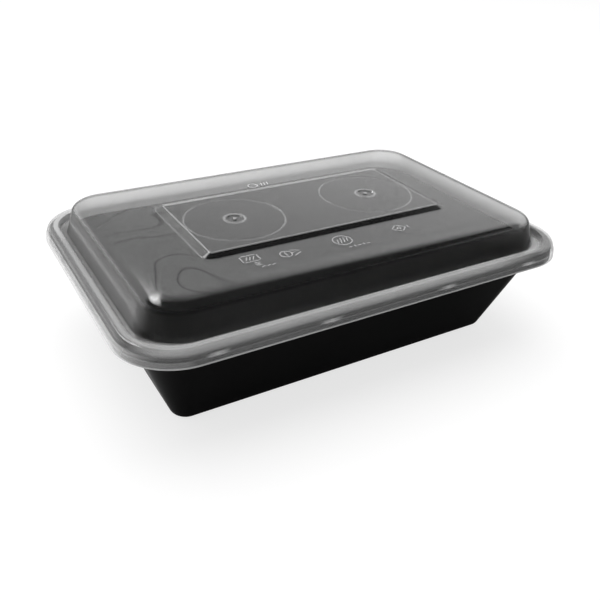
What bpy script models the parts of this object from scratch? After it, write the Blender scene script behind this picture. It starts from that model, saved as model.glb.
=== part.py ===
"""A takeaway meal container, shut and empty: a tapered black tray with a clear domed lid pressed on its rim.

Metres, +Z up, +X along the long side. The origin is the centre of the tray's base. Each piece is a
moulded shell: a skin lofted through rounded rectangles, given its wall with Solidify.
"""

import math
from collections import namedtuple

import bmesh
import bpy

MM = 0.001

# Outer outline, over the foot of the lid's skirt
LENGTH = 223 * MM
WIDTH = 150.6 * MM
CORNER_RADIUS = 26 * MM
CORNER_STEPS = 12

# Heights over the base
TRAY_SKIRT_FOOT = 46.9 * MM
LID_SKIRT_FOOT = 48.0 * MM
RIM_UNDERSIDE = 53.0 * MM
LEDGE_HEIGHT = 54.5 * MM
CHANNEL_FLOOR = 51.5 * MM
DOME_HEIGHT = 65.4 * MM
PANEL_HEIGHT = 66.6 * MM

# Walls of the mouldings
TRAY_WALL = 0.65 * MM
LID_WALL = 0.5 * MM

# Tray rim seen from below, from the foot of its skirt to its neck: (inset, drop under the rim's underside)
TRAY_SKIRT_PROFILE = (
    (2.05 * MM, RIM_UNDERSIDE - TRAY_SKIRT_FOOT),
    (2.55 * MM, 2.4 * MM),
    (2.75 * MM, 1.2 * MM),
    (3.15 * MM, 0.4 * MM),
    (3.8 * MM, 0),
    (4.9 * MM, 0.3 * MM),
    (5.5 * MM, 1.2 * MM),
    (5.9 * MM, 3.1 * MM),
)

# Tray: the wall leans out from a rounded bottom edge to a small shoulder under the neck
TRAY_END_ANGLE = math.radians(19.3)
TRAY_SIDE_ANGLE = math.radians(23.0)
TRAY_WALL_TOP_INSET = 7.9 * MM
TRAY_WALL_TOP = 49.3 * MM
TRAY_TOP_RADIUS = 20 * MM
TRAY_FLOOR_RADIUS = 3.5 * MM
BOTTOM_EDGE_RADIUS = 4.5 * MM
BOTTOM_EDGE_STEPS = 4

# Lid skirt, with a small step round it: (inset, rise over the skirt's foot)
LID_SKIRT_PROFILE = (
    (0, 0),
    (0.3 * MM, 2.8 * MM),
    (0.9 * MM, 3.2 * MM),
)

# Lid ledge, slightly crowned, and the channel inside it that plugs the tray's mouth: (inset, height)
LEDGE_AND_CHANNEL_PROFILE = (
    (1.5 * MM, LEDGE_HEIGHT - 0.8 * MM),
    (2.1 * MM, LEDGE_HEIGHT - 0.1 * MM),
    (3.9 * MM, LEDGE_HEIGHT + 0.3 * MM),
    (5.8 * MM, LEDGE_HEIGHT + 0.1 * MM),
    (6.3 * MM, LEDGE_HEIGHT - 0.2 * MM),
    (7.0 * MM, LEDGE_HEIGHT - 1.0 * MM),
    (7.5 * MM, CHANNEL_FLOOR + 0.3 * MM),
    (7.9 * MM, CHANNEL_FLOOR),
)

# Dome of the lid: a steep wall out of the channel, a rounded edge and a gently crowned shoulder
DOME_FOOT_INSET = 9.5 * MM
DOME_WALL_ANGLE = math.radians(72.5)
DOME_CORNER_GROWTH = 3.2 * MM
DOME_EDGE_RADIUS = 4.2 * MM
DOME_EDGE_STEPS = 5
SHOULDER_ANGLE = math.radians(14)
SHOULDER_RADIUS = 20 * MM
SHOULDER_STEPS = 2

# Raised panel on the dome's flat top
PANEL_LENGTH = 122.0 * MM
PANEL_WIDTH = 55.4 * MM
PANEL_CORNER = 1.3 * MM
PANEL_DRAFT = 3.8 * MM

Section = namedtuple("Section", "half_length half_width radius height")


def inset_section(inset, height, radius=None):
    """A section that lies inset inside the outer outline, parallel to it if no radius is given."""
    if radius is None:
        radius = CORNER_RADIUS - inset
    return Section(LENGTH / 2 - inset, WIDTH / 2 - inset, radius, height)


def section_points(section):
    """The points of a rounded rectangle, counterclockwise from +X."""
    points = []
    for quarter, (side_x, side_y) in enumerate(((1, 1), (-1, 1), (-1, -1), (1, -1))):
        centre_x = side_x * (section.half_length - section.radius)
        centre_y = side_y * (section.half_width - section.radius)
        for step in range(CORNER_STEPS + 1):
            angle = math.pi / 2 * (quarter + step / CORNER_STEPS)
            x = centre_x + section.radius * math.cos(angle)
            y = centre_y + section.radius * math.sin(angle)
            points.append((x, y, section.height))
    return points


def tray_sections():
    """The tray's underside, from the foot of its rim skirt under the rim and down the wall to the base."""
    skirt_and_neck = [inset_section(inset, RIM_UNDERSIDE - drop) for inset, drop in TRAY_SKIRT_PROFILE]
    wall_top = inset_section(TRAY_WALL_TOP_INSET, TRAY_WALL_TOP, TRAY_TOP_RADIUS)
    floor_half_length = floor_half(wall_top.half_length, TRAY_END_ANGLE)
    floor_half_width = floor_half(wall_top.half_width, TRAY_SIDE_ANGLE)
    turn = math.pi / 2 - TRAY_SIDE_ANGLE
    bottom_edge = []
    for step in range(BOTTOM_EDGE_STEPS + 1):
        angle = turn * (1 - step / BOTTOM_EDGE_STEPS)
        out = BOTTOM_EDGE_RADIUS * math.sin(angle)
        height = BOTTOM_EDGE_RADIUS * (1 - math.cos(angle))
        radius = TRAY_FLOOR_RADIUS + out
        bottom_edge.append(Section(floor_half_length + out, floor_half_width + out, radius, height))
    return [*skirt_and_neck, wall_top, *bottom_edge]


def floor_half(top_half, wall_angle):
    """Half the size of the base's flat floor, inside the rounded edge where a wall at this angle meets it."""
    corner_half = top_half - TRAY_WALL_TOP * math.tan(wall_angle)
    return corner_half - BOTTOM_EDGE_RADIUS * math.tan((math.pi / 2 - wall_angle) / 2)


def dome_arc(inset, height, radius, start_angle, end_angle, steps):
    """Points (inset, height) after the given one, along an arc whose slope falls to end_angle."""
    points = []
    for step in range(1, steps + 1):
        angle = start_angle + (end_angle - start_angle) * step / steps
        out = radius * (math.sin(start_angle) - math.sin(angle))
        rise = radius * (math.cos(angle) - math.cos(start_angle))
        points.append((inset + out, height + rise))
    return points


def dome_profile():
    """Points (inset, height) of the dome's wall, rounded edge and shoulder, from the channel up."""
    edge_rise = DOME_EDGE_RADIUS * (math.cos(SHOULDER_ANGLE) - math.cos(DOME_WALL_ANGLE))
    shoulder_rise = SHOULDER_RADIUS * (1 - math.cos(SHOULDER_ANGLE))
    wall_top = DOME_HEIGHT - edge_rise - shoulder_rise
    wall_top_inset = DOME_FOOT_INSET + (wall_top - CHANNEL_FLOOR) / math.tan(DOME_WALL_ANGLE)
    wall = [(DOME_FOOT_INSET, CHANNEL_FLOOR), (wall_top_inset, wall_top)]
    edge = dome_arc(*wall[-1], DOME_EDGE_RADIUS, DOME_WALL_ANGLE, SHOULDER_ANGLE, DOME_EDGE_STEPS)
    shoulder = dome_arc(*edge[-1], SHOULDER_RADIUS, SHOULDER_ANGLE, 0, SHOULDER_STEPS)
    return [*wall, *edge, *shoulder]


def lid_sections():
    """The lid's upper side, from the foot of its skirt over ledge, channel and dome to the raised panel."""
    skirt = [inset_section(inset, LID_SKIRT_FOOT + rise) for inset, rise in LID_SKIRT_PROFILE]
    ledge_and_channel = [inset_section(inset, height) for inset, height in LEDGE_AND_CHANNEL_PROFILE]
    dome = []
    for inset, height in dome_profile():
        dome.append(inset_section(inset, height, CORNER_RADIUS - inset + DOME_CORNER_GROWTH))
    panel = []
    for spread, height in ((PANEL_DRAFT, DOME_HEIGHT), (0, PANEL_HEIGHT)):
        half_length = PANEL_LENGTH / 2 + spread
        half_width = PANEL_WIDTH / 2 + spread
        panel.append(Section(half_length, half_width, PANEL_CORNER + spread, height))
    return [*skirt, *ledge_and_channel, *dome, *panel]


def lofted_skin(name, sections, closes_upwards):
    """An open mesh through the sections, with a flat face over the last one and its faces pointing out.

    The rings run counterclockwise, so the faces point up and outwards, as the lid's do. The tray's skin
    is its underside, so there they are turned round.
    """
    skin = bmesh.new()
    rings = [[skin.verts.new(point) for point in section_points(section)] for section in sections]
    for outer, inner in zip(rings, rings[1:]):
        for i in range(len(outer)):
            skin.faces.new((outer[i - 1], outer[i], inner[i], inner[i - 1]))
    skin.faces.new(rings[-1])
    if not closes_upwards:
        bmesh.ops.reverse_faces(skin, faces=skin.faces)
    mesh = bpy.data.meshes.new(name)
    skin.to_mesh(mesh)
    skin.free()
    return mesh


def moulded_shell(name, sections, closes_upwards, wall, material, collection):
    """The piece itself: its outer skin with a wall that grows inwards."""
    mesh = lofted_skin(name, sections, closes_upwards)
    mesh.shade_smooth()
    mesh.set_sharp_from_angle(angle=math.radians(35))
    mesh.materials.append(material)
    shell = bpy.data.objects.new(name, mesh)
    collection.objects.link(shell)
    solidify = shell.modifiers.new("wall", "SOLIDIFY")
    solidify.thickness = wall
    solidify.offset = -1
    solidify.use_even_offset = True
    return shell


def plastic(name, colour, roughness, alpha=1.0):
    """A plain moulded plastic."""
    material = bpy.data.materials.new(name)
    material.use_nodes = True
    shader = material.node_tree.nodes["Principled BSDF"]
    shader.inputs["Base Color"].default_value = (*colour, 1)
    shader.inputs["Roughness"].default_value = roughness
    shader.inputs["Metallic"].default_value = 0
    shader.inputs["Alpha"].default_value = alpha
    return material


def build():
    """The container: both pieces in one collection."""
    for old in list(bpy.data.objects):
        bpy.data.objects.remove(old)
    container = bpy.data.collections.new("meal_container")
    bpy.context.scene.collection.children.link(container)
    black = plastic("black_polypropylene", (0.01, 0.01, 0.01), 0.45)
    clear = plastic("clear_polypropylene", (0.8, 0.8, 0.8), 0.1, alpha=0.3)
    moulded_shell("tray", tray_sections(), False, TRAY_WALL, black, container)
    moulded_shell("lid", lid_sections(), True, LID_WALL, clear, container)


build()
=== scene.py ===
# %% [markdown]
# # A takeaway meal container, shut and empty
# A tapered black tray carries a clear domed lid that is pressed over its rim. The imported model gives
# the two parts as plain solids at their true size and place. This script dresses them: it models both
# mouldings again with finer edges, adds the low relief, and gives each plastic its own finish. It
# starts by loading the frame, because the mouldings have to fit the outline and the heights of the
# solids that they stand for.

# %% Load the frame
import math

import bmesh
import bpy
from mathutils import Matrix, Vector


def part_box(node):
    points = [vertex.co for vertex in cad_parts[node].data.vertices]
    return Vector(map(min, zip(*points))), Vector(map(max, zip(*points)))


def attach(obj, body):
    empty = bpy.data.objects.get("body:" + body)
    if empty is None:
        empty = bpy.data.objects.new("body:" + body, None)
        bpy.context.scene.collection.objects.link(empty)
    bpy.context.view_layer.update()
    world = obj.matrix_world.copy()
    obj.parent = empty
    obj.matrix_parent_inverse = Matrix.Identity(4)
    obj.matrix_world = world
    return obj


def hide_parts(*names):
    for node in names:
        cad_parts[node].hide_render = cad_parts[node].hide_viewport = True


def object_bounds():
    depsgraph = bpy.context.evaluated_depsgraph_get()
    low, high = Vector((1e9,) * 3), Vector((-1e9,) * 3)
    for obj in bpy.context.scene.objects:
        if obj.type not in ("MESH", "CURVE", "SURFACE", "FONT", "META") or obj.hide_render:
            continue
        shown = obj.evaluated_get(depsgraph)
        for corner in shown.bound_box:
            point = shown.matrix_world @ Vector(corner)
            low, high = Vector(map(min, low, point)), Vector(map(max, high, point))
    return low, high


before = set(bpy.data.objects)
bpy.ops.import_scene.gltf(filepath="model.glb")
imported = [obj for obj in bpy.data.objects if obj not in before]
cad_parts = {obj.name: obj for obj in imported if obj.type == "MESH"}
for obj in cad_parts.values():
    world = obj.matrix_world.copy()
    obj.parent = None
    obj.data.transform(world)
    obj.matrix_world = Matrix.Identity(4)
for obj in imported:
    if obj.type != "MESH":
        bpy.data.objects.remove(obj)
cad_low, cad_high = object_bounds()
MM = 0.001
length, width, height = cad_high - cad_low
print("container", [round(size / MM, 1) for size in (length, width, height)], "mm")

# %% [markdown]
# ## The camera
# The picture was taken from in front of the near left corner, looking down by about thirty degrees
# from close by, so the far end looks clearly smaller. The camera is placed by its direction, its
# distance and two small sideways moves, and not by aiming it at the object, because the object doesn't
# sit in the middle of the picture. The slight roll is the picture's own.

# %% Place the camera
IMAGE_SIZE = 600
SENSOR = 36
FOCAL_PIXELS = 684.8
AZIMUTH, ELEVATION, ROLL = (math.radians(angle) for angle in (-31.53, 30.46, 2.38))
DISTANCE = 364.4 * MM
MOVE_RIGHT, MOVE_UP = 0.88 * MM, 11.31 * MM
CLIP_START = 0.01

back = Vector((
    math.sin(AZIMUTH) * math.cos(ELEVATION),
    -math.cos(AZIMUTH) * math.cos(ELEVATION),
    math.sin(ELEVATION),
))
level_right = Vector((math.cos(AZIMUTH), math.sin(AZIMUTH), 0))
right = Matrix.Rotation(ROLL, 3, back) @ level_right
up = back.cross(right)

bpy.ops.object.camera_add(location=back * DISTANCE + right * MOVE_RIGHT + up * MOVE_UP)
camera = bpy.context.object
camera.rotation_euler = Matrix((right, up, back)).transposed().to_euler()
camera.data.sensor_width = SENSOR
camera.data.lens = FOCAL_PIXELS * SENSOR / IMAGE_SIZE
camera.data.clip_start = CLIP_START
bpy.context.scene.camera = camera
print("camera at", [round(value / MM) for value in camera.location], "mm, lens", round(camera.data.lens, 1))

# %% [markdown]
# ## Arithmetic with shader sockets
# The light and the plastics below are worked out by formulas. Laid out by hand, every plus and
# times in them is one more Math node to add and link. This class wraps a socket, so that a formula can
# be written as plain Python and adds its nodes by itself.

# %% Wrap a node socket
class Wire:
    """A socket of a node tree that ordinary arithmetic works on: each operator adds its Math node."""

    def __init__(self, tree, socket=None):
        self.tree, self.socket = tree, socket

    def node(self, kind, settings, inputs, output=0):
        """Adds a node of this kind, sets it up, fills its sockets, and returns one of its outputs."""
        made = self.tree.nodes.new(kind)
        for name, value in settings.items():
            if name == "stops":
                stops = made.color_ramp.elements
                while len(stops) < len(value):
                    stops.new(1)
                for stop, (position, colour) in zip(stops, value):
                    stop.position, stop.color = position, (*colour, 1)
            else:
                setattr(made, name, value)
        for name, value in inputs.items():
            if isinstance(value, Wire):
                self.tree.links.new(value.socket, made.inputs[name])
            else:
                made.inputs[name].default_value = value
        return Wire(self.tree, made.outputs[output])

    def math(self, operation, *values):
        """The result of a Math node on these values."""
        return self.node("ShaderNodeMath", {"operation": operation}, dict(enumerate(values)))

    def __add__(self, other):
        return self.math("ADD", self, other)

    def __sub__(self, other):
        return self.math("SUBTRACT", self, other)

    def __rsub__(self, other):
        return self.math("SUBTRACT", other, self)

    def __mul__(self, other):
        return self.math("MULTIPLY", self, other)

    def __pow__(self, other):
        return self.math("POWER", self, other)

    __radd__ = __add__
    __rmul__ = __mul__

    def between(self, start, end):
        """0 up to start and 1 from end on, with a smooth change between the two."""
        return self.node(
            "ShaderNodeMapRange", {"interpolation_type": "SMOOTHSTEP"},
            {"Value": self, "From Min": start, "From Max": end},
        )


# %% Read directions and rays
def coordinate(tree, vector, axis):
    """One coordinate of a vector, as a number."""
    return tree.node("ShaderNodeSeparateXYZ", {}, {"Vector": vector}, output=axis)


def light_path(tree, output):
    """1 for the rays that this output of the Light Path node stands for, and 0 for all others."""
    return tree.node("ShaderNodeLightPath", {}, {}, output=output)


def switch(tree, factor, off, on):
    """off where the factor is 0 and on where it is 1."""
    return tree.node("ShaderNodeMix", {"data_type": "FLOAT"}, {"Factor": factor, "A": off, "B": on})


# %% [markdown]
# ## The studio
# Black plastic and clear film show little colour of their own: nearly all that the eye sees on them is
# a reflection of the room. So the light is made as surroundings and not as a few lamps. A bright
# backdrop stands behind the container, brighter at the right and near its top, and a softbox glows at
# the left. A long narrow lamp hangs high behind, for the sharp highlight on the dome's near left
# corner, and the camera's side is dark. Each light is a product of soft edges: how far behind, to the
# side or up a direction points says how much of the light it meets.

# %% Open the world
BEHIND = Vector((0.522, 0.853))

world = bpy.data.worlds.new("studio")
world.use_nodes = True
world.node_tree.nodes.clear()
bpy.context.scene.world = world
sky = Wire(world.node_tree)
direction = sky.node("ShaderNodeTexCoord", {}, {}, output="Generated")
x, y, z = (coordinate(sky, direction, axis) for axis in range(3))
behind = x * BEHIND.x + y * BEHIND.y
rightward = x * BEHIND.y - y * BEHIND.x
leftward = 0 - rightward
print("directions made of", len(world.node_tree.nodes), "nodes")

# %% Hang the backdrop
BACKDROP_LEFT, BACKDROP_RIGHT = 0.98, 1.25
BACKDROP_CREST = 0.40
# Each pair says where a change begins and where it is complete
BACKDROP_FRONT_EDGE, BACKDROP_SIDE_CHANGE = (-0.2, 0.3), (-0.45, 0.45)
BACKDROP_FOOT, CREST_FOOT, BACKDROP_TOP = (0, 0.25), (0.42, 0.53), (0.55, 0.73)

backdrop = behind.between(*BACKDROP_FRONT_EDGE) * z.between(*BACKDROP_FOOT) * (1 - z.between(*BACKDROP_TOP))
backdrop_level = BACKDROP_LEFT + (BACKDROP_RIGHT - BACKDROP_LEFT) * rightward.between(*BACKDROP_SIDE_CHANGE)
backdrop_level = backdrop_level * (1 + BACKDROP_CREST * z.between(*CREST_FOOT))
print("with the backdrop", len(world.node_tree.nodes), "nodes")

# %% Add the softbox and the narrow lamp
SOFTBOX_LEVEL = 1.1
SOFTBOX_RIGHT_EDGE, SOFTBOX_TOP, SOFTBOX_FRONT_EDGE = (0.45, 0.8), (0.25, 0.6), (-0.2, 0.15)
LAMP_LEVEL = 9.0
LAMP_ACROSS = Vector((0.856, -0.343, 0.387))
LAMP_LEFT_EDGE, LAMP_RIGHT_EDGE, LAMP_FRONT_EDGE = (-0.03, 0.02), (0.09, 0.13), (0, 0.2)
LAMP_FOOT, LAMP_TOP = (0.50, 0.64), (0.64, 0.90)

softbox = leftward.between(*SOFTBOX_RIGHT_EDGE) * (1 - z.between(*SOFTBOX_TOP))
softbox = softbox * behind.between(*SOFTBOX_FRONT_EDGE)
across_lamp = x * LAMP_ACROSS.x + y * LAMP_ACROSS.y + z * LAMP_ACROSS.z
narrow_lamp = across_lamp.between(*LAMP_LEFT_EDGE) * (1 - across_lamp.between(*LAMP_RIGHT_EDGE))
narrow_lamp = narrow_lamp * behind.between(*LAMP_FRONT_EDGE)
narrow_lamp = narrow_lamp * z.between(*LAMP_FOOT) * (1 - z.between(*LAMP_TOP))
print("with softbox and lamp", len(world.node_tree.nodes), "nodes")

# %% [markdown]
# Reflections meet these lights, but matt surfaces, such as the floor, are lit by a pale sky instead,
# which keeps the shadow under the container faint, and a ray from the camera that misses everything
# finds plain white. The switch needs the world's own sampling off, because that asks for its light
# without saying what kind of ray it is for.

# %% Light the surroundings
ROOM_GLOW = 0.05
SKY_FRONT, SKY_BACK = 0.45, 1.15
SKY_CHANGE = (-0.8, 0.6)

lit = ROOM_GLOW + backdrop * backdrop_level + softbox * SOFTBOX_LEVEL + narrow_lamp * LAMP_LEVEL
pale = SKY_FRONT + (SKY_BACK - SKY_FRONT) * (y - x).between(*SKY_CHANGE)
met = switch(sky, light_path(sky, "Is Diffuse Ray"), lit, pale)
radiance = switch(sky, light_path(sky, "Is Camera Ray"), met, 1.0)
glow = sky.node("ShaderNodeBackground", {}, {"Strength": radiance})
surface = world.node_tree.nodes.new("ShaderNodeOutputWorld")
world.node_tree.links.new(glow.socket, surface.inputs["Surface"])
world.cycles.sampling_method = "NONE"
bpy.context.scene.view_settings.view_transform = "Standard"
print("surroundings made of", len(world.node_tree.nodes), "nodes")

# %% [markdown]
# The container stands on a wide sheet, which lies a hair below the tray's base so that no two faces
# share one height. A large light over both gives matt surfaces a little direct light from above. It
# is hidden from reflections, where it would show as a white square.

# %% Lay the floor and hang a soft light over it
FLOOR_SIZE = 6
FLOOR_GAP = 0.1 * MM
SOFT_LIGHT_PLACE = (-0.1, 0.3, 1.5)
SOFT_LIGHT_SIZE, SOFT_LIGHT_POWER = 1.6, 16

bpy.ops.object.select_all(action="DESELECT")
bpy.ops.mesh.primitive_plane_add(size=FLOOR_SIZE, location=(0, 0, -FLOOR_GAP))
floor = bpy.context.object
floor.name = "floor"
bpy.ops.object.transform_apply(location=True)
bpy.ops.object.light_add(type="AREA", location=SOFT_LIGHT_PLACE)
soft_light = bpy.context.object
soft_light.data.size = SOFT_LIGHT_SIZE
soft_light.data.energy = SOFT_LIGHT_POWER
soft_light.visible_glossy = False
print("floor", [round(size, 1) for size in floor.dimensions[:2]], "m, light of", SOFT_LIGHT_POWER, "W")

# %% [markdown]
# ## Profiles
# Both parts are mouldings whose section is nearly the same all the way round, so each is drawn as a
# profile: a few corners, given by how far inside the outline they lie, how high they are and how
# round they are. Writing the arcs out by hand would take hundreds of numbers. This helper works
# them out, so one radius can be changed at a time.

# %% Round the corners of a profile
STEP_ANGLE = math.radians(9)
TINY = 0.01 * MM


def arc_reach(radius, turn):
    """How far before and after its corner an arc with this radius and turn begins and ends."""
    return radius * math.tan(turn / 2)


def rounded(corners):
    """Points (inset, height) along the corners (inset, height, radius), each turned into an arc."""
    places = [Vector(corner[:2]) for corner in corners]
    points = [places[0]]
    for before, here, after, corner in zip(places, places[1:], places[2:], corners[1:]):
        arriving, leaving = (here - before).normalized(), (after - here).normalized()
        turn, radius = arriving.angle_signed(leaving), corner[2]
        arc_start = here - arriving * arc_reach(radius, abs(turn))
        steps = max(1, round(abs(turn) / STEP_ANGLE))
        points.append(arc_start)
        for step in range(1, steps + 1):
            # A chord of the arc leans by half of the angle turned so far
            lean = -turn * step / steps / 2
            chord = 2 * radius * math.sin(abs(lean))
            along = Matrix.Rotation(lean, 2) @ arriving
            points.append(arc_start + along * chord)
    points.append(places[-1])
    # Where two arcs touch, the end of one is the start of the next
    apart = [end for start, end in zip(points, points[1:]) if (end - start).length > TINY]
    return [(point.x, point.y) for point in (points[0], *apart)]


# %% [markdown]
# ## Plates
# In plan every level of the container is a rectangle with round corners. As by hand, a plane is
# added at the right size and its four corner points are bevelled. The straight sides are then cut into
# short lengths, so that small relief can be pushed out of them later, and so that every level has the
# same number of points and can be bridged to the next.

# %% Select edges and faces by a rule
def select(piece, kind, wanted):
    """Selects what wanted says of the piece in edit mode, and nothing else; kind is EDGE or FACE."""
    bpy.ops.mesh.select_mode(type=kind)
    bpy.ops.mesh.select_all(action="DESELECT")
    cage = bmesh.from_edit_mesh(piece.data)
    for element in cage.edges if kind == "EDGE" else cage.faces:
        if wanted(element):
            element.select_set(True)
    bmesh.update_edit_mesh(piece.data)


def selected_faces(piece):
    """The faces of the piece in edit mode that are selected."""
    return [face for face in bmesh.from_edit_mesh(piece.data).faces if face.select]


def middle_of(edge):
    """The place halfway along an edge."""
    return (edge.verts[0].co + edge.verts[1].co) / 2


# %% Make a plate with round corners
CORNER_STEPS = 24
LONG_CUTS, SHORT_CUTS = 99, 63


def fill_ring(piece, wanted):
    """Closes the ring of edges that wanted says with one face that looks up, and leaves it selected."""
    select(piece, "EDGE", wanted)
    bpy.ops.mesh.edge_face_add()
    bpy.ops.mesh.select_mode(type="FACE")
    made = selected_faces(piece)
    print("ring filled with", len(made), "face of", len(made[0].edges), "edges")
    if made[0].normal.z < 0:
        bpy.ops.mesh.flip_normals()


def runs_along(edge, axis, least):
    """True if the edge lies along that axis and is longer than least."""
    span = edge.verts[0].co - edge.verts[1].co
    return abs(span[axis]) > least and abs(span[1 - axis]) < TINY


def rounded_plate(name, plate_length, plate_width, radius, level):
    """A flat face with round corners, left in edit mode with the face selected."""
    bpy.ops.object.select_all(action="DESELECT")
    bpy.ops.mesh.primitive_plane_add(size=1, location=(0, 0, level))
    plate = bpy.context.object
    plate.name = name
    bpy.ops.object.mode_set(mode="EDIT")
    bpy.ops.transform.resize(value=(plate_length, plate_width, 1))
    bpy.ops.mesh.bevel(affect="VERTICES", offset=radius, segments=CORNER_STEPS)
    # Without its face the outline can be cut up without new edges across it
    bpy.ops.mesh.select_all(action="SELECT")
    bpy.ops.mesh.delete(type="ONLY_FACE")
    for axis, size, cuts in ((0, plate_length, LONG_CUTS), (1, plate_width, SHORT_CUTS)):
        select(plate, "EDGE", lambda edge: runs_along(edge, axis, (size - 2 * radius) / 2))
        bpy.ops.mesh.subdivide(number_cuts=cuts)
    fill_ring(plate, lambda edge: True)
    return plate


# %% [markdown]
# A plate becomes a moulding by insets: each one adds a level further in, and higher or lower. Where
# the next level can't be had from the last by an inset, a new plate starts there, and the two open
# rings are bridged once they are one piece.

# %% Draw a plate along a profile
RING_TOLERANCE = 0.02 * MM


def follow(profile):
    """Insets the selected face along the profile: each step moves it in, and up or down."""
    for (inset, level), (next_inset, next_level) in zip(profile, profile[1:]):
        bpy.ops.mesh.inset(thickness=next_inset - inset, depth=next_level - level)


def take_cap_off():
    """Deletes the selected face but keeps its edges, and goes back to object mode."""
    bpy.ops.mesh.delete(type="ONLY_FACE")
    bpy.ops.object.mode_set(mode="OBJECT")


def joined(name, parts):
    """The parts as one piece, with its place in its mesh."""
    bpy.ops.object.select_all(action="DESELECT")
    for part in parts:
        part.select_set(True)
    bpy.context.view_layer.objects.active = parts[0]
    bpy.ops.object.transform_apply(location=True, rotation=True, scale=True)
    bpy.ops.object.join()
    piece = bpy.context.object
    piece.name = piece.data.name = name
    return piece


def bridge_at(piece, levels, cuts=0):
    """Joins the two open rings of the piece that lie at these levels."""
    def in_open_ring(edge):
        off = min(abs(middle_of(edge).z - level) for level in levels)
        return len(edge.link_faces) < 2 and off < RING_TOLERANCE

    select(piece, "EDGE", in_open_ring)
    bpy.ops.mesh.bridge_edge_loops(number_cuts=cuts, interpolation="LINEAR")


# %% [markdown]
# ## The lid's rim
# The clear lid grips the tray with a short skirt. Above a small step it turns over a flat ledge, which is
# slightly crowned, and drops into a narrow channel that plugs the tray's mouth. All of this runs parallel to
# the outline, so the inset operator is the right tool: it keeps every level at an even distance from the
# last, round the corners too, where scaling the ring would not. A few levels have no corner: they are there
# for the snap beads and for the bands of haze and painted highlights, which come later and need points.

# %% Model the lid's rim
CORNER_RADIUS = 26 * MM
LID_FOOT = 48.0 * MM
LEDGE = 54.5 * MM
CHANNEL_FLOOR = 51.5 * MM
CHANNEL_MIDDLE = 8.4 * MM

rim_profile = rounded((
    # The skirt, up to its step
    (0, LID_FOOT, 0),
    (0.02 * MM, LID_FOOT + 0.4 * MM, 0),
    (0.05 * MM, LID_FOOT + 0.6 * MM, 0),
    (0.24 * MM, LID_FOOT + 2.3 * MM, 0),
    (0.27 * MM, LID_FOOT + 2.55 * MM, 0),
    (0.30 * MM, LID_FOOT + 2.8 * MM, 0.08 * MM),
    # The skirt above its step
    (0.90 * MM, LID_FOOT + 3.15 * MM, 0.10 * MM),
    (0.93 * MM, LID_FOOT + 3.45 * MM, 0),
    (0.97 * MM, LID_FOOT + 3.75 * MM, 0),
    (1.01 * MM, LID_FOOT + 4.1 * MM, 0),
    # The ledge
    (1.30 * MM, LEDGE + 0.3 * MM, 2.5 * MM),
    (3.90 * MM, LEDGE + 0.2 * MM, 0),
    (4.50 * MM, LEDGE + 0.176 * MM, 0),
    (6.45 * MM, LEDGE + 0.1 * MM, 0.5 * MM),
    # The channel
    (7.35 * MM, CHANNEL_FLOOR, 0.45 * MM),
    (CHANNEL_MIDDLE, CHANNEL_FLOOR, 0),
))
lid_rim = rounded_plate("lid_rim", length, width, CORNER_RADIUS, LID_FOOT)
follow(rim_profile)
take_cap_off()
print("lid rim", len(rim_profile), "levels,", len(lid_rim.data.vertices), "points")

# %% [markdown]
# ## The dome
# The dome stands up steeply out of the channel and turns over a tight edge, which eases through a
# wider shoulder into a crown so gentle that the top looks flat. Three radii that grow like this keep
# the reflection from breaking off at the edge. The dome's corners are rounder than the rim's, so it
# can't simply be inset from the rim: it starts from a plate of its own, and the floor of the channel is
# bridged between the two. One more level low on the wall marks where the channel's milky look ends.

# %% Set out the dome's arcs
DOME_HEIGHT = 65.4 * MM
DOME_FOOT = 9.5 * MM
DOME_WALL_ANGLE = math.radians(72.5)
SHOULDER_ANGLE, CROWN_ANGLE = math.radians(14), math.radians(5)
FOOT_RADIUS = 0.5 * MM
EDGE_RADIUS, SHOULDER_RADIUS, CROWN_RADIUS = 4.2 * MM, 20 * MM, 70 * MM

# The arcs of edge, shoulder and crown touch, so the two slopes between their corners are this long
shoulder_reach = arc_reach(SHOULDER_RADIUS, SHOULDER_ANGLE - CROWN_ANGLE)
edge_slope = arc_reach(EDGE_RADIUS, DOME_WALL_ANGLE - SHOULDER_ANGLE) + shoulder_reach
crown_slope = shoulder_reach + arc_reach(CROWN_RADIUS, CROWN_ANGLE)
shoulder_height = DOME_HEIGHT - crown_slope * math.sin(CROWN_ANGLE)
edge_height = shoulder_height - edge_slope * math.sin(SHOULDER_ANGLE)
edge_inset = DOME_FOOT + (edge_height - CHANNEL_FLOOR) / math.tan(DOME_WALL_ANGLE)
shoulder_inset = edge_inset + edge_slope * math.cos(SHOULDER_ANGLE)
print("dome's edge", round(edge_height / MM, 1), "mm up and", round(edge_inset / MM, 1), "mm in")

# %% Model the dome
CORNER_GROWTH = 3.2 * MM
FLAT_TOP = 25.5 * MM
FROST_END = 0.9 * MM
DOME_START = CHANNEL_MIDDLE + 0.3 * MM

dome_profile = rounded((
    (DOME_START, CHANNEL_FLOOR, 0),
    (DOME_FOOT, CHANNEL_FLOOR, FOOT_RADIUS),
    (DOME_FOOT + FROST_END / math.tan(DOME_WALL_ANGLE), CHANNEL_FLOOR + FROST_END, 0),
    (edge_inset, edge_height, EDGE_RADIUS),
    (shoulder_inset, shoulder_height, SHOULDER_RADIUS),
    (shoulder_inset + crown_slope * math.cos(CROWN_ANGLE), DOME_HEIGHT, CROWN_RADIUS),
    (FLAT_TOP, DOME_HEIGHT, 0),
))
lid_dome = rounded_plate(
    "lid_dome", length - 2 * DOME_START, width - 2 * DOME_START,
    CORNER_RADIUS + CORNER_GROWTH - DOME_START, CHANNEL_FLOOR,
)
follow(dome_profile)
take_cap_off()
print("dome", len(dome_profile), "levels,", len(lid_dome.data.vertices), "points")

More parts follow.
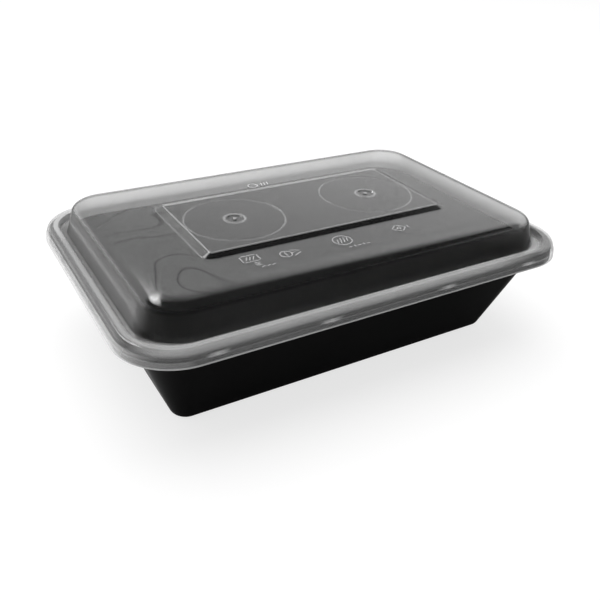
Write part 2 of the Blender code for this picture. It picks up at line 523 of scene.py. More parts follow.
# %% [markdown]
# ## The panel and its gates
# A low panel stands on the dome. Two shallow dishes in it hide the gates, the points where the molten
# plastic entered the mould, and a fine line left by the mould's round inserts runs round each.
# The panel's flat face is filled between its edge and two circles, so that each dish can be
# inset from a true circle.

# %% Model the panel
PANEL_LENGTH, PANEL_WIDTH = 122 * MM, 55.4 * MM
PANEL_CORNER = 1.3 * MM
PANEL_DRAFT = 3.8 * MM
PANEL_START = 0.8 * MM
PANEL_FOOT_RADIUS, PANEL_EDGE_RADIUS = 0.25 * MM, 0.3 * MM
# How far from its foot and edge a level on the panel's wall bounds their painted highlight lines
PANEL_GUARD = 0.2 * MM
GATE_X = 36.5 * MM
INSERT_RADIUS = 23.7 * MM
ROUND_STEPS = 96

panel_height = cad_high.z
panel_rise = panel_height - DOME_HEIGHT
panel_spread = PANEL_DRAFT + PANEL_START
guard_rise = PANEL_GUARD * (panel_rise / PANEL_DRAFT)
panel_profile = rounded((
    (0, DOME_HEIGHT, 0),
    (PANEL_START, DOME_HEIGHT, PANEL_FOOT_RADIUS),
    (PANEL_START + PANEL_GUARD, DOME_HEIGHT + guard_rise, 0),
    (panel_spread - PANEL_GUARD, panel_height - guard_rise, 0),
    (panel_spread, panel_height, PANEL_EDGE_RADIUS),
    (panel_spread + 0.4 * MM, panel_height, 0),
    (panel_spread + 0.5 * MM, panel_height, 0),
))
lid_panel = rounded_plate(
    "lid_panel", PANEL_LENGTH + 2 * panel_spread, PANEL_WIDTH + 2 * panel_spread,
    PANEL_CORNER + panel_spread, DOME_HEIGHT,
)
follow(panel_profile)
bpy.ops.mesh.delete(type="ONLY_FACE")
for side in (-1, 1):
    bpy.ops.mesh.primitive_circle_add(
        vertices=ROUND_STEPS, radius=INSERT_RADIUS, location=(side * GATE_X, 0, panel_height)
    )


def bounds_flat_face(edge):
    """True for the edges of both circles and for the ring at the panel's top; heights count from its foot."""
    return not edge.link_faces or (edge.is_boundary and edge.verts[0].co.z > panel_rise / 2)


select(lid_panel, "EDGE", bounds_flat_face)
bpy.ops.mesh.fill(use_beauty=True)
print("panel face filled with", len(selected_faces(lid_panel)), "faces")

# %% Sink the gates
GATE_RADIUS, GATE_DEPTH = 4.75 * MM, 0.45 * MM
GROOVE_DEPTH = 0.07 * MM

# A flat ring on both sides of the groove keeps its shading out of the panel's long faces
gate_profile = [
    (0, 0),
    (0.1 * MM, 0),
    (0.16 * MM, -0.03 * MM),
    (0.24 * MM, -GROOVE_DEPTH),
    (0.5 * MM, -GROOVE_DEPTH),
    (0.6 * MM, 0),
    (0.7 * MM, 0),
]
dish_rim = INSERT_RADIUS - GATE_RADIUS
gate_profile += rounded((
    (dish_rim - 1.2 * MM, 0, 0),
    (dish_rim, 0, 0.4 * MM),
    (dish_rim + 0.9 * MM, -GATE_DEPTH, 0.6 * MM),
    # The stub of the gate in the middle of the dish
    (INSERT_RADIUS - 1.5 * MM, -GATE_DEPTH, 0.2 * MM),
    (INSERT_RADIUS - 1.0 * MM, -0.02 * MM, 0.2 * MM),
    (INSERT_RADIUS - 0.3 * MM, -0.01 * MM, 0),
))
for side in (-1, 1):
    def on_circle(edge):
        middle = middle_of(edge)
        from_gate = math.hypot(middle.x - side * GATE_X, middle.y)
        return edge.is_boundary and abs(from_gate - INSERT_RADIUS) < 0.1 * MM

    fill_ring(lid_panel, on_circle)
    follow(gate_profile)
select(lid_panel, "FACE", lambda face: face.normal.z < 0)
print("faces of the panel that look down:", len(selected_faces(lid_panel)))
bpy.ops.mesh.flip_normals()
bpy.ops.object.mode_set(mode="OBJECT")

# %% [markdown]
# ## The lid in one skin
# Rim, dome and panel become one open skin. The bridges lie flat, where an operator can't tell inside
# from outside, so their faces are checked and turned up where they look down. Small beads are then
# pushed out of the skirt: they snap under the tray's rim. Only after that does the skin get its
# wall, so that the inside follows the outside as in a real moulding.

# %% Join the lid's skin
LOOKS_DOWN = -0.01

lid = joined("lid_shell", [lid_rim, lid_dome, lid_panel])
bpy.ops.object.mode_set(mode="EDIT")
for level in (CHANNEL_FLOOR, DOME_HEIGHT):
    bridge_at(lid, [level])
select(lid, "FACE", lambda face: face.normal.z < LOOKS_DOWN)
print("bridge faces turned up:", len(selected_faces(lid)))
bpy.ops.mesh.flip_normals()
bpy.ops.object.mode_set(mode="OBJECT")

# %% Push the snap beads out
BEAD_LENGTH, BEAD_OUT = 10.5 * MM, 0.44 * MM
BEAD_LOW, BEAD_HIGH = LID_FOOT + 2.4 * MM, LID_FOOT + 4.2 * MM
# Below 1 a bead is fuller towards its ends than a plain cosine
BEAD_FULLNESS = 0.7
SKIRT_DEPTH = 2 * MM
LONG_SIDE_BEADS, SHORT_SIDE_BEADS = (-79, -30, 30, 79), (-22, 22)
# Each bead by its place along its side and the axis that it is pushed along
beads = [(place * MM, 1) for place in LONG_SIDE_BEADS] + [(place * MM, 0) for place in SHORT_SIDE_BEADS]


def bead_weight(point):
    """How much the skirt bulges at this point, from 0 to 1, and which way."""
    if not BEAD_LOW < point.z < BEAD_HIGH:
        return 0, Vector((0, 0, 0))
    rise = (point.z - BEAD_LOW) / (BEAD_HIGH - BEAD_LOW)
    for place, axis in beads:
        along, half = point[1 - axis] - place, (length, width)[axis] / 2
        if abs(along) < BEAD_LENGTH / 2 and half - abs(point[axis]) < SKIRT_DEPTH:
            out = Vector((0, 0, 0))
            out[axis] = math.copysign(1, point[axis])
            return math.cos(math.pi * along / BEAD_LENGTH) ** BEAD_FULLNESS * math.sin(math.pi * rise), out
    return 0, Vector((0, 0, 0))


moved = 0
for vertex in lid.data.vertices:
    weight, out = bead_weight(vertex.co)
    if weight > 0:
        vertex.co += out * BEAD_OUT * weight
        moved += 1
print("points in the snap beads:", moved)

# %% [markdown]
# ## Frost, painted light and clouding
# The lid isn't equally clear all over. A white matt haze is painted on it, partly as the plastic's own milky
# look and partly as painted light. The lines along the skirt's foot, on the snap beads, along the panel's
# edges and foot and round the gates are painted highlights. The ledge carries a painted sheen, stronger at
# the back and weaker at the right of the front, and the lower end walls and the panel's walls away from the
# front are painted lighter. The skirt is milky too, more at the ends and round its corners, and so is the
# channel. The dome's steep walls rubbed along the mould's steel on their way out, and blur what is behind
# them. How strong each look is can't come from a texture in space, as it follows the shape. So two numbers
# are painted on the mesh at each point, worked out from how far inside the outline and how high the point
# lies, and the clear plastic's material reads them later. It's done before the skin gets its wall, so that
# the inside carries the same pattern as the outside.

# %% Measure where a point lies
def inset_of(point, outline_length, outline_width, radius):
    """How far a point lies inside an outline with round corners."""
    beyond_x = abs(point.x) - (outline_length / 2 - radius)
    beyond_y = abs(point.y) - (outline_width / 2 - radius)
    if beyond_x > 0 and beyond_y > 0:
        return radius - math.hypot(beyond_x, beyond_y)
    return radius - max(beyond_x, beyond_y)


def ramp(value, start, end):
    """0 up to start, 1 from end on, and even steps in between."""
    return min(max((value - start) / (end - start), 0), 1)


def band(value, low, high, soft):
    """1 between low and high, fading to 0 over soft on both sides."""
    return ramp(value, low - soft, low) * (1 - ramp(value, high, high + soft))


wall_foot = Vector((length / 2 - DOME_FOOT, 0, CHANNEL_FLOOR))
print("dome's wall starts", round(inset_of(wall_foot, length, width, CORNER_RADIUS) / MM, 1), "mm in")

# %% Say how milky the rim is, and where light is painted on it
# The foot's line and the snap beads get painted highlights, and the ledge's frost is partly a painted sheen
FOOT_HIGHLIGHT, SKIRT_FROST, LEDGE_FROST_AND_PAINTED_SHEEN = 0.38, 0.06, 0.23
CORNER_FROST, BEAD_HIGHLIGHT, END_SKIRT_FROST = 0.12, 0.30, 0.27
# How much of the ledge's painted sheen the right of the front lacks, as painted shade
RIGHT_SHADE = 0.9
# Heights, insets and places between which a look changes
FOOT_END = (LID_FOOT + 0.35 * MM, LID_FOOT + 0.6 * MM)
FLEXED_END = (LID_FOOT + 2.6 * MM, LID_FOOT + 2.9 * MM)
SKIRT_END, LEDGE_BEGIN = (52.0 * MM, 53.2 * MM), (51.7 * MM, 53.5 * MM)
INNER_HALF, INTO_CORNER = (3.9 * MM, 4.5 * MM), (0, 5 * MM)
TO_BACK, TO_RIGHT = (30 * MM, 60 * MM), (60 * MM, 90 * MM)


def rim_frost_and_light(point, inset, end):
    """How much haze the skirt and the ledge carry, painted highlights on the foot and the snap beads and a
    painted sheen on the ledge included; end is 1 at the short ends and 0 along the sides.
    """
    # Painted highlight: a bright line along the skirt's foot
    foot = FOOT_HIGHLIGHT * (1 - ramp(point.z, *FOOT_END))
    skirt = SKIRT_FROST + END_SKIRT_FROST * end * (1 - ramp(point.z, *SKIRT_END))
    # The skirt is bent each time the lid is pulled off, most of all round its corners
    beyond = min(abs(point.x) - length / 2, abs(point.y) - width / 2) + CORNER_RADIUS
    flexed = CORNER_FROST * ramp(beyond, *INTO_CORNER) * (1 - ramp(point.z, *FLEXED_END))
    # Painted sheen on the ledge: at the ends only on its inner half, brighter at the back, darker at the
    # right front
    inner_half, at_back = ramp(inset, *INNER_HALF), ramp(point.y, *TO_BACK)
    right_shade_factor = 1 - RIGHT_SHADE * ramp(point.x, *TO_RIGHT) * (1 - at_back)
    share = (inner_half + (1 - inner_half) * (1 - end)) * right_shade_factor
    ledge = LEDGE_FROST_AND_PAINTED_SHEEN * (1 + at_back) * share * ramp(point.z, *LEDGE_BEGIN)
    # The snap beads get a painted highlight
    return max(skirt, foot, flexed, ledge, BEAD_HIGHLIGHT * bead_weight(point)[0])


front_ledge = Vector((0, INNER_HALF[1] - width / 2, LEDGE))
print("frost on the front ledge", round(rim_frost_and_light(front_ledge, INNER_HALF[1], 0), 2))

# %% Say how milky the panel is, and where highlights and light are painted on it
# Painted highlights on the panel's edge, foot and gates, and painted light on its walls; the insert lines are
# the plastic's own
PANEL_EDGE_HIGHLIGHT, PANEL_FOOT_HIGHLIGHT, PANEL_WALL_LIGHT = 0.26, 0.10, 0.03
GATE_HIGHLIGHT, LINE_FROST = 0.24, 0.13
# Bands by their low and high bounds and their soft width, first inside the panel's edge, then round a gate
EDGE_BAND = (-0.06 * MM, 0.42 * MM, 0.05 * MM)
FOOT_BAND = (-PANEL_DRAFT - 0.06 * MM, -PANEL_DRAFT + 0.06 * MM, 0.05 * MM)
WALL_BAND = (-3.7 * MM, -0.1 * MM, 0.1 * MM)
DISH_BAND = (GATE_RADIUS - 0.45 * MM, GATE_RADIUS + 0.1 * MM, 0.3 * MM)
LINE_BAND = (INSERT_RADIUS - 0.55 * MM, INSERT_RADIUS - 0.1 * MM, 0.08 * MM)
STUB_END = (0.9 * MM, 1.1 * MM)
OFF_FRONT_WALL = (-PANEL_WIDTH / 2 + 0.5 * MM, -PANEL_WIDTH / 2 + 1.5 * MM)


def panel_frost_and_light(point):
    """The raised panel's haze: painted highlights on its edges, foot and gates, painted light on its walls
    away from the front, and the plastic's own lines round the insert circles.
    """
    gate = min(math.hypot(point.x - side * GATE_X, point.y) for side in (-1, 1))
    inside = inset_of(point, PANEL_LENGTH, PANEL_WIDTH, PANEL_CORNER)
    away = ramp(point.y, *OFF_FRONT_WALL)
    # The front wall gets no painted light or highlight, so it stays in shade
    return max(
        PANEL_EDGE_HIGHLIGHT * band(inside, *EDGE_BAND),
        PANEL_FOOT_HIGHLIGHT * away * band(inside, *FOOT_BAND),
        PANEL_WALL_LIGHT * away * band(inside, *WALL_BAND),
        GATE_HIGHLIGHT * band(gate, *DISH_BAND),
        GATE_HIGHLIGHT * (1 - ramp(gate, *STUB_END)),
        LINE_FROST * band(gate, *LINE_BAND),
    )


print("frost on the panel's edge", round(panel_frost_and_light(Vector((0, PANEL_WIDTH / 2, panel_height))), 2))

# %% Say how milky and how cloudy the whole lid is, and where light is painted on it
CHANNEL_FROST, END_CHANNEL_FROST, END_WALL_LIGHT = 0.50, 0.10, 0.17
WALL_CLOUDING = 0.7
LEDGE_END, CHANNEL_FROST_TOP = 6.7 * MM, CHANNEL_FLOOR + 0.6 * MM
DOME_END, PANEL_BEGIN = FLAT_TOP - 1 * MM, -panel_spread + 0.1 * MM
OFF_SHORT_END = (5 * MM, 20 * MM)
TO_END_WALL, TO_CORNER_WALL = (90 * MM, 95 * MM), (44 * MM, 54 * MM)
END_WALL_TOP, CLOUDING_TOP = (61 * MM, 64 * MM), (62 * MM, 64 * MM)


def frost_and_light_of(point):
    """How much haze the lid carries at this point, painted highlights and painted light included."""
    inset = inset_of(point, length, width, CORNER_RADIUS)
    end = 1 - ramp(abs(point.y) - (width / 2 - CORNER_RADIUS), *OFF_SHORT_END)
    if inset < LEDGE_END:
        return rim_frost_and_light(point, inset, end)
    if point.z < CHANNEL_FROST_TOP:
        return CHANNEL_FROST + (END_CHANNEL_FROST - CHANNEL_FROST) * end
    if inset < CHANNEL_MIDDLE:
        return SKIRT_FROST
    if inset < DOME_END:
        # Painted light: the end walls are made lighter low down, fading out towards the top
        on_end = ramp(abs(point.x), *TO_END_WALL) * (1 - ramp(abs(point.y), *TO_CORNER_WALL))
        return END_WALL_LIGHT * on_end * (1 - ramp(point.z, *END_WALL_TOP))
    if inset_of(point, PANEL_LENGTH, PANEL_WIDTH, PANEL_CORNER) < PANEL_BEGIN:
        return 0
    return panel_frost_and_light(point)


def clouding_of(point):
    """How much the dome's wall blurs what is behind it at this point."""
    inset = inset_of(point, length, width, CORNER_RADIUS)
    return WALL_CLOUDING * (1 - ramp(point.z, *CLOUDING_TOP)) if inset > CHANNEL_MIDDLE else 0


# %% Paint the lid
def paint(piece, name, rule):
    """Stores the number that the rule gives for each point of the piece, under this name."""
    numbers = [rule(vertex.co) for vertex in piece.data.vertices]
    piece.data.attributes.new(name, "FLOAT", "POINT").data.foreach_set("value", numbers)
    print(name, "of", piece.name, "from", round(min(numbers), 2), "to", round(max(numbers), 2))


paint(lid, "frost", frost_and_light_of)
paint(lid, "clouding", clouding_of)

# %% Give the lid its wall
LID_WALL = 0.5 * MM
CREASE_ANGLE = math.radians(28)


def give_wall(piece, thickness):
    """Thickens the open skin inwards and shades it smooth, with its creases kept."""
    bpy.ops.object.select_all(action="DESELECT")
    piece.select_set(True)
    bpy.context.view_layer.objects.active = piece
    wall = piece.modifiers.new("wall", "SOLIDIFY")
    wall.thickness = thickness
    wall.offset = -1
    wall.use_even_offset = True
    bpy.ops.object.modifier_apply(modifier=wall.name)
    bpy.ops.object.shade_smooth_by_angle(angle=CREASE_ANGLE)


give_wall(lid, LID_WALL)
print("lid", len(lid.data.polygons), "faces")

# %% [markdown]
# ## Moulded marks
# A row of small marks stands in low relief in front of the panel, with one more behind it. They are
# plain rings, frames and bars without any words. Engraving them into the lid's skin would need cuts
# through its faces, so each stroke is a low bar or ring of its own, sunk a hair into the surface. The
# strokes are spark-eroded in the mould, which leaves them frosted, so they get an even frost, stronger
# on the mark behind the panel, which has to stand out against the bright back wall.

# %% Make the strokes of the marks
STROKE, STROKE_RISE, STROKE_SINK = 0.52 * MM, 0.14 * MM, 0.03 * MM
STROKE_HEIGHT = STROKE_RISE + STROKE_SINK
STROKE_MIDDLE = DOME_HEIGHT + (STROKE_RISE - STROKE_SINK) / 2
STROKE_BEVEL = 0.05 * MM
RING_STEPS = 40


def finished_stroke():
    """The new stroke, with its place in its mesh and its top edges rounded."""
    stroke = bpy.context.object
    bpy.ops.object.transform_apply(location=True, rotation=True, scale=True)
    bpy.ops.object.mode_set(mode="EDIT")
    select(stroke, "EDGE", lambda edge: min(vertex.co.z for vertex in edge.verts) > STROKE_MIDDLE)
    bpy.ops.mesh.bevel(offset=STROKE_BEVEL, segments=2)
    bpy.ops.object.mode_set(mode="OBJECT")
    return stroke


def bar(x, y, bar_length, turn=0.0):
    """A straight stroke, centred at x and y in millimetres and turned by degrees."""
    bpy.ops.object.select_all(action="DESELECT")
    bpy.ops.mesh.primitive_cube_add(
        size=1, location=(x * MM, y * MM, STROKE_MIDDLE), rotation=(0, 0, math.radians(turn)),
        scale=(bar_length * MM, STROKE, STROKE_HEIGHT),
    )
    return finished_stroke()


def ring(x, y, radius):
    """A round stroke: a disc whose middle is inset and taken out, bridged from top to bottom."""
    bpy.ops.object.select_all(action="DESELECT")
    bpy.ops.mesh.primitive_cylinder_add(
        vertices=RING_STEPS, radius=radius * MM, depth=STROKE_HEIGHT, location=(x * MM, y * MM, STROKE_MIDDLE)
    )
    disc = bpy.context.object
    bpy.ops.object.mode_set(mode="EDIT")
    select(disc, "FACE", lambda face: abs(face.normal.z) > 0.9)
    bpy.ops.mesh.inset(thickness=STROKE)
    bpy.ops.mesh.bridge_edge_loops()
    bpy.ops.object.mode_set(mode="OBJECT")
    return finished_stroke()


def frame_mark(x, y, wide, deep):
    """Four bars round a field, which don't quite meet at its corners."""
    gap = 2 * STROKE / MM
    return [
        bar(x, y - deep / 2, wide - gap), bar(x, y + deep / 2, wide - gap),
        bar(x - wide / 2, y, deep - gap, 90), bar(x + wide / 2, y, deep - gap, 90),
    ]


# %% Set out the marks
# All places and lengths are in millimetres, and turns in degrees. First a frame with slanting bars
strokes = frame_mark(-47.6, -37.6, 7.8, 5.5)
strokes += [bar(-49.2 + 1.6 * step, -37.6, 3.2, 62) for step in range(3)]
strokes += [bar(-46.6, -42.0 - 1.1 * step, 2.6) for step in range(3)]
strokes += [bar(-45.6 + 2.4 * step, -46.2, 1.8, 12) for step in range(3)]
# A ring with an arrow beside it
strokes += [ring(-32.2, -40.6, 2.9), bar(-32.2, -40.6, 3.4, 90)]
strokes += [bar(-27.4, -38.9, 4.2, -28), bar(-27.4, -42.3, 4.2, 28), bar(-28.6, -40.6, 1.8)]
# A larger ring of slanting bars, over a row of dashes
strokes += [ring(-3.4, -39.8, 4.6)]
strokes += [bar(-5.8 + 1.6 * step, -39.8, 5.2 - abs(step - 1.5), 68) for step in range(4)]
strokes += [bar(-3.6 + 2.3 * step, -46.8, 1.6, 90 * (step % 2)) for step in range(5)]
# A lozenge round a small ring, with one bar beside it
for side in (-1, 1):
    for rise in (-1, 1):
        strokes.append(bar(27.2 + side * 2.0, -40.4 + rise * 1.6, 4.2, -40 * side * rise))
strokes += [ring(27.2, -40.4, 1.1), bar(32.2, -40.4, 2.6, 90)]
# The one behind the panel
strokes += [ring(-9.4, 35.2, 2.7)] + [bar(-4.4 + 1.7 * step, 35.2, 4.0, 75) for step in range(3)]
print("marks of", len(strokes), "strokes")

# %% Join and paint the marks
MARK_FROST, BACK_MARK_FROST = 0.26, 0.6

marks = joined("lid_marks", strokes)
paint(marks, "frost", lambda point: MARK_FROST if point.y < 0 else BACK_MARK_FROST)
print("marks", len(marks.data.polygons), "faces")

# %% [markdown]
# ## The tray
# The black tray hangs from a flat rim whose edge turns down into a lip that ends just below the lid's
# skirt. Under the rim a narrow shoulder leads to the wall, which leans in towards the base, a little
# more along the sides than at the ends. Its corners sharpen from a wide sweep at the top to a tight one
# at the base. An inset can't do that, so the rim, the top of the wall and the rounded bottom edge each
# come from a plate of their own, and the stretches between are bridged. The skin modelled here is the
# underside, so it is turned over.

# %% Model the tray's rim
TRAY_RIM_UNDERSIDE = 53.0 * MM
LIP_INSET, LIP_FOOT = 2.05 * MM, 46.9 * MM
RIM_OUTSIDE, RIM_INSIDE = 2.75 * MM, 5.15 * MM
RIM_OUTER_RADIUS, RIM_INNER_RADIUS = 0.8 * MM, 0.6 * MM
NECK_INSET, NECK = 5.9 * MM, 49.9 * MM

tray_rim_profile = rounded((
    (LIP_INSET, LIP_FOOT, 0),
    (RIM_OUTSIDE, TRAY_RIM_UNDERSIDE, RIM_OUTER_RADIUS),
    (RIM_INSIDE, TRAY_RIM_UNDERSIDE, RIM_INNER_RADIUS),
    (NECK_INSET, NECK, 0),
))
tray_rim = rounded_plate(
    "tray_rim", length - 2 * LIP_INSET, width - 2 * LIP_INSET, CORNER_RADIUS - LIP_INSET, LIP_FOOT
)
follow(tray_rim_profile)
take_cap_off()
print("tray rim", len(tray_rim_profile), "levels")

# %% Model the tray's base
WALL_TOP, WALL_TOP_INSET, WALL_TOP_RADIUS = 49.3 * MM, 7.9 * MM, 20 * MM
END_ANGLE, SIDE_ANGLE = math.radians(19.3), math.radians(23.0)
FLOOR_CORNER, BOTTOM_RADIUS = 3.5 * MM, 4.5 * MM
FLAT_START = 0.1 * MM
TRAY_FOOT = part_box("tray")[0].z

bottom_turn = math.pi / 2 - SIDE_ANGLE
bottom_reach = arc_reach(BOTTOM_RADIUS, bottom_turn)
bottom_run = bottom_reach * math.cos(bottom_turn)
bottom_out = BOTTOM_RADIUS * math.sin(bottom_turn)
bottom_level = TRAY_FOOT + BOTTOM_RADIUS * (1 - math.cos(bottom_turn))


def across_bottom_edge(outline, wall_angle):
    """The tray's size across the start of the rounded bottom edge, where the wall has this angle."""
    corner = outline / 2 - WALL_TOP_INSET - WALL_TOP * math.tan(wall_angle)
    flat = corner - arc_reach(BOTTOM_RADIUS, math.pi / 2 - wall_angle)
    return 2 * (flat + bottom_out)


bottom_profile = rounded((
    (0, bottom_level, 0),
    (bottom_run, TRAY_FOOT, BOTTOM_RADIUS),
    (bottom_run + bottom_reach + FLAT_START, TRAY_FOOT, 0),
))
tray_base = rounded_plate(
    "tray_base", across_bottom_edge(length, END_ANGLE), across_bottom_edge(width, SIDE_ANGLE),
    FLOOR_CORNER + bottom_out, bottom_level,
)
follow(bottom_profile)
bpy.ops.object.mode_set(mode="OBJECT")
print("tray base", [round(size / MM, 1) for size in tray_base.dimensions[:2]], "mm")

# %% Join the tray's skin
WALL_CUTS = 10
TRAY_WALL = 0.65 * MM

wall_top = rounded_plate(
    "tray_wall_top", length - 2 * WALL_TOP_INSET, width - 2 * WALL_TOP_INSET, WALL_TOP_RADIUS, WALL_TOP
)
take_cap_off()
tray = joined("tray_shell", [tray_rim, wall_top, tray_base])
bpy.ops.object.mode_set(mode="EDIT")
bridge_at(tray, [NECK, WALL_TOP])
bridge_at(tray, [WALL_TOP, bottom_level], cuts=WALL_CUTS)
bpy.ops.mesh.select_all(action="SELECT")
bpy.ops.mesh.flip_normals()
bpy.ops.object.mode_set(mode="OBJECT")
give_wall(tray, TRAY_WALL)
print("tray", len(tray.data.polygons), "faces")

# %% [markdown]
# ## What both plastics share
# Either plastic is a mix of shaders, and its fine pattern is laid out in the piece's own coordinates,
# in real size. A few helpers keep both formulas short.

# %% Share the plastics' helpers
WHITE = (1, 1, 1, 1)
GRAIN_HEIGHT = 0.05 * MM


def new_material(name):
    """An empty node material, a Wire to build its nodes with, and the piece's own coordinates."""
    material = bpy.data.materials.new(name)
    material.use_nodes = True
    material.node_tree.nodes.clear()
    tree = Wire(material.node_tree)
    return material, tree, tree.node("ShaderNodeTexCoord", {}, {}, output="Object")


def finish_material(material, shader):
    """Links the finished shader to the material's output."""
    output = material.node_tree.nodes.new("ShaderNodeOutputMaterial")
    material.node_tree.links.new(shader.socket, output.inputs["Surface"])
    print(material.name, "made of", len(material.node_tree.nodes), "nodes")
    return material


def noise(tree, place, scale, detail=2.0):
    """Smooth noise from 0 to 1 at this many features a metre."""
    return tree.node("ShaderNodeTexNoise", {}, {"Vector": place, "Scale": scale, "Detail": detail})


def grain_bump(tree, grain, strength):
    """The slight tilt that a fine grain gives the surface."""
    return tree.node("ShaderNodeBump", {}, {"Strength": strength, "Distance": GRAIN_HEIGHT, "Height": grain})


def gloss_coat(tree, roughness, bump):
    """A mirror-like coat of this roughness."""
    return tree.node("ShaderNodeBsdfGlossy", {}, {"Color": WHITE, "Roughness": roughness, "Normal": bump})


def edge_on(tree):
    """0 where the surface faces the eye and 1 where it is seen edge on."""
    return tree.node("ShaderNodeLayerWeight", {}, {"Blend": 0.5}, output="Facing")


def mix_shaders(tree, factor, off, on):
    """The shader off where the factor is 0 and the shader on where it is 1."""
    return tree.node("ShaderNodeMixShader", {}, {0: factor, 1: off, 2: on})


# %% [markdown]
# ## Black plastic
# The tray is moulded in black polypropylene with a fine matt skin. Its own colour is almost nothing,
# so it's the roughness that makes it look like plastic and not like a hole: low, broad gloss that
# varies a little, over a very fine grain.

# %% Make the black plastic
DEEP_BLACK, WORN_BLACK = (0.0014, 0.0014, 0.0015), (0.0028, 0.0028, 0.0029)
BLACK_CLOUDS, BLACK_GRAIN = 60, 2600
BLACK_BUMP = 0.12
BLACK_SPECULAR = 0.02
GRAZING_GLOSS = 0.3


def black_plastic():
    """The tray's material."""
    material, tree, place = new_material("black_polypropylene")
    cloudy = noise(tree, place, BLACK_CLOUDS, 3.0)
    grain = noise(tree, place, BLACK_GRAIN)
    bump = grain_bump(tree, grain, BLACK_BUMP)
    colour = tree.node(
        "ShaderNodeValToRGB", {"stops": ((0.3, DEEP_BLACK), (0.7, WORN_BLACK))}, {"Fac": cloudy}
    )
    body = tree.node("ShaderNodeBsdfPrincipled", {}, {
        "Base Color": colour, "Roughness": 0.5 + 0.2 * cloudy,
        "Specular IOR Level": BLACK_SPECULAR, "Normal": bump,
    })
    gloss = gloss_coat(tree, 0.28 + 0.12 * cloudy + 0.05 * grain, bump)
    return finish_material(material, mix_shaders(tree, GRAZING_GLOSS * edge_on(tree) ** 7, body, gloss))


# %% [markdown]
# ## Clear plastic
# The lid is a thin clear sheet. Each of its two faces lets most light straight through and mirrors a share
# that grows as the view gets flatter: about four percent head on, and nearly all at a grazing angle. A sheet
# this thin hardly bends the view through it, so each face is a mix of a Transparent and a Glossy shader, with
# the usual fifth power for that share. A fine speckle and a few flow lines vary it. Where the mesh carries
# clouding, a rough Refraction shader takes over from the Transparent one, because it spreads light forwards
# and so blurs what is behind. Where it carries frost and painted light, and faintly everywhere, a white matt
# haze lies on top, so the haze shows both the plastic's milky look and painted highlights.

# %% Draw the flow lines
FLOW_SCALE = 17
FLOW_LEVELS = (0.42, 0.52)
FLOW_WIDTH = 0.008
FLOW_END, FLOW_TOP = (-0.072, -0.048), (0.0645, 0.0652)


def flow_lines(tree, place):
    """Thin curved lines on the left of the dome's top, where the plastic's flow fronts met."""
    swirl = noise(tree, place, FLOW_SCALE, 1.0)
    lines = 0
    for level in FLOW_LEVELS:
        rising, falling = swirl.between(level - FLOW_WIDTH, level), swirl.between(level, level + FLOW_WIDTH)
        lines = lines + rising * (1 - falling)
    x, z = (coordinate(tree, place, axis) for axis in (0, 2))
    return lines * (1 - x.between(*FLOW_END)) * z.between(*FLOW_TOP)


# %% Make the clear plastic
HEAD_ON = 0.04
FILM_TINT, FILM_IOR = (0.93, 0.93, 0.93, 1), 1.45
HAZE_WHITE, HAZE_ROUGHNESS = (0.8, 0.8, 0.8, 1), 0.6
BLUR_ROUGHNESS = 0.5
CLEAR_CLOUDS, CLEAR_GRAIN, CLEAR_SPECKLE = 45, 1800, 900
CLEAR_BUMP = 0.03
SPECKLE_EDGE = (0.4, 0.75)
FLOW_DARKNESS = 0.5


def painted(tree, name):
    """The number that was painted on the mesh under this name."""
    return tree.node("ShaderNodeAttribute", {"attribute_name": name}, {}, output="Fac")


def clear_plastic():
    """The material of the lid and its marks."""
    material, tree, place = new_material("clear_polypropylene")
    cloudy = noise(tree, place, CLEAR_CLOUDS, 3.0)
    grain = noise(tree, place, CLEAR_GRAIN)
    speckle = noise(tree, place, CLEAR_SPECKLE, 4.0).between(*SPECKLE_EDGE)
    mirrored = HEAD_ON + (1 - HEAD_ON) * edge_on(tree) ** 5
    mirrored = mirrored * (1 - FLOW_DARKNESS * flow_lines(tree, place)) * (0.93 + 0.28 * speckle)
    straight = tree.node("ShaderNodeBsdfTransparent", {}, {"Color": FILM_TINT})
    blurred = tree.node("ShaderNodeBsdfRefraction", {}, {
        "Color": FILM_TINT, "IOR": FILM_IOR, "Roughness": BLUR_ROUGHNESS,
    })
    through = mix_shaders(tree, painted(tree, "clouding"), straight, blurred)
    gloss = gloss_coat(tree, 0.05 + 0.05 * cloudy, grain_bump(tree, grain, CLEAR_BUMP))
    haze = tree.node("ShaderNodeBsdfPrincipled", {}, {
        "Base Color": HAZE_WHITE, "Roughness": HAZE_ROUGHNESS, "Specular IOR Level": 0.0,
    })
    # The haze carries the plastic's milky look and the lid's painted highlights and painted light
    haze_and_painted_light = 0.003 + 0.006 * cloudy + painted(tree, "frost") * (0.85 + 0.3 * cloudy)
    sheet = mix_shaders(tree, mirrored, through, gloss)
    return finish_material(material, mix_shaders(tree, haze_and_painted_light, sheet, haze))


# %% [markdown]
# ## The floor
# The floor is a sheet of pale paper. The container stood on a small table: in its reflections the
# bright sheet soon ends, and that edge gives the dark lines along the lid's round edges. So the paper
# turns dark with distance and in front of the container, but only for rays that come from a
# reflection. To the eye it is a light table: most of its brightness is a glow of its own, which keeps
# the container's shadow faint.

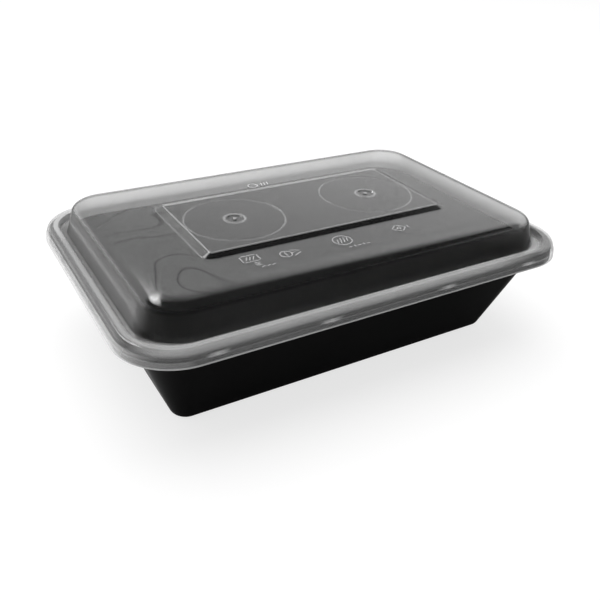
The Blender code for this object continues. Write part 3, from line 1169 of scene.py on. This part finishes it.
# %% Make the floor's paper
PAPER_WHITE, TABLE_DARK = (0.93, 0.93, 0.93, 1), (0.25, 0.25, 0.25, 1)
PAPER_SEEN, PAPER_GLOW, NO_GLOW = (0.32, 0.32, 0.32, 1), (0.72, 0.72, 0.72, 1), (0, 0, 0, 1)
PAPER_FIBRES = 40
TABLE_END = (0.17, 0.32)
TABLE_FRONT, FRONT_EDGE = Vector((0.30, -0.95)), (0.05, 0.12)


def mix_colours(tree, factor, off, on):
    """The colour off where the factor is 0 and the colour on where it is 1."""
    # The Mix node has a set of sockets for each kind of value: these numbers are those for colours
    return tree.node("ShaderNodeMix", {"data_type": "RGBA"}, {"Factor": factor, 6: off, 7: on}, output=2)


def floor_paper():
    """The floor's material."""
    material, tree, place = new_material("floor_paper")
    distance = tree.node("ShaderNodeVectorMath", {"operation": "LENGTH"}, {0: place}, output="Value")
    x, y = (coordinate(tree, place, axis) for axis in (0, 1))
    in_front = (x * TABLE_FRONT.x + y * TABLE_FRONT.y).between(*FRONT_EDGE)
    bright = (1 - distance.between(*TABLE_END)) * (1 - in_front)
    mirror_ray = light_path(tree, "Is Glossy Ray") * (1 - light_path(tree, "Is Transmission Ray"))
    by_eye = light_path(tree, "Is Camera Ray")
    reflected = mix_colours(tree, mirror_ray * (1 - bright), PAPER_WHITE, TABLE_DARK)
    shader = tree.node("ShaderNodeBsdfPrincipled", {}, {
        "Base Color": mix_colours(tree, by_eye, reflected, PAPER_SEEN),
        "Roughness": 0.7 + 0.2 * noise(tree, place, PAPER_FIBRES),
        "Specular IOR Level": 0.0,
        "Emission Color": mix_colours(tree, by_eye, NO_GLOW, PAPER_GLOW),
        "Emission Strength": 1.0,
    })
    return finish_material(material, shader)


# %% [markdown]
# ## Putting it together
# Each piece gets its plastic. The two mouldings then take the place of the two plain solids, which
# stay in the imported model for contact. The marks belong to the lid and replace nothing. With no joint
# there is only one body, so every piece rides on it.

# %% Give the pieces their materials
clear = clear_plastic()
for piece, material in ((tray, black_plastic()), (lid, clear), (marks, clear), (floor, floor_paper())):
    piece.data.materials.clear()
    piece.data.materials.append(material)
    print(piece.name, "is", material.name)

# %% Attach the pieces
for piece, node in ((lid, "lid"), (tray, "tray")):
    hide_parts(node)
for piece, slot in ((lid, "clear_plastic"), (marks, "clear_plastic"), (tray, "black_plastic")):
    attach(piece, "root")
    print(piece.name, "rides on root, finish", slot)
